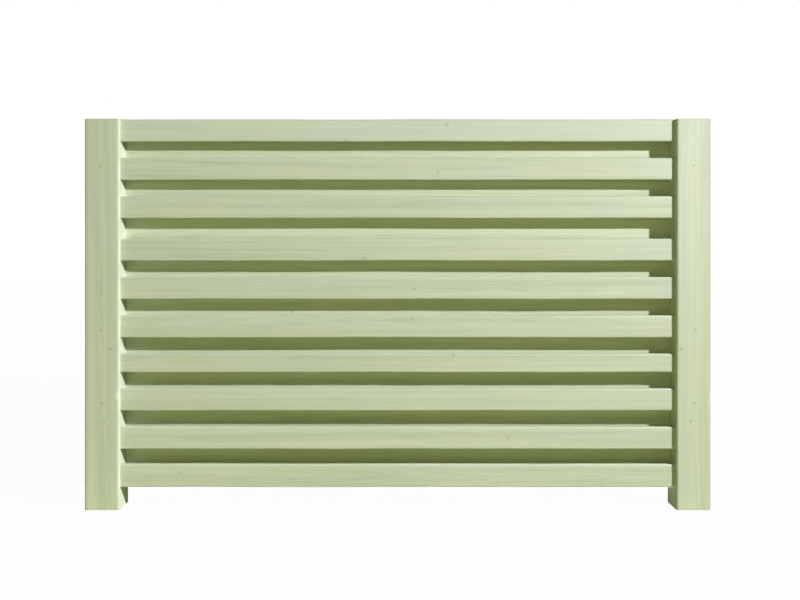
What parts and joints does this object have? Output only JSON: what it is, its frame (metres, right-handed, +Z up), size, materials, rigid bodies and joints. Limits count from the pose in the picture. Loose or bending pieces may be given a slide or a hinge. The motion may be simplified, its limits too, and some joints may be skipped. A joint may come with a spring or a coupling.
{
  "type": "double slatted fence panel",
  "caption": "Timber fence panel: horizontal boards in two staggered rows, front and rear, let into two square posts.",
  "frame": {"origin": "centre of the left post's foot face, seen from the front", "axes": "+X along the panel to the right post, +Y from the front to the back, +Z up"},
  "size_m": [1.8, 0.099, 1.125],
  "materials": {
    "post_timber": "planed, green pressure-treated softwood",
    "front_timber": "planed, green pressure-treated softwood",
    "rear_timber": "planed, green pressure-treated softwood"
  },
  "bodies": {
    "root": {"left_post": "post_timber", "right_post": "post_timber", "front_board_01": "front_timber", "front_board_02": "front_timber", "front_board_03": "front_timber", "front_board_04": "front_timber", "front_board_05": "front_timber", "front_board_06": "front_timber", "front_board_07": "front_timber", "front_board_08": "front_timber", "front_board_09": "front_timber", "front_board_10": "front_timber", "rear_board_01": "rear_timber", "rear_board_02": "rear_timber", "rear_board_03": "rear_timber", "rear_board_04": "rear_timber", "rear_board_05": "rear_timber", "rear_board_06": "rear_timber", "rear_board_07": "rear_timber", "rear_board_08": "rear_timber", "rear_board_09": "rear_timber"}
  },
  "joints": []
}
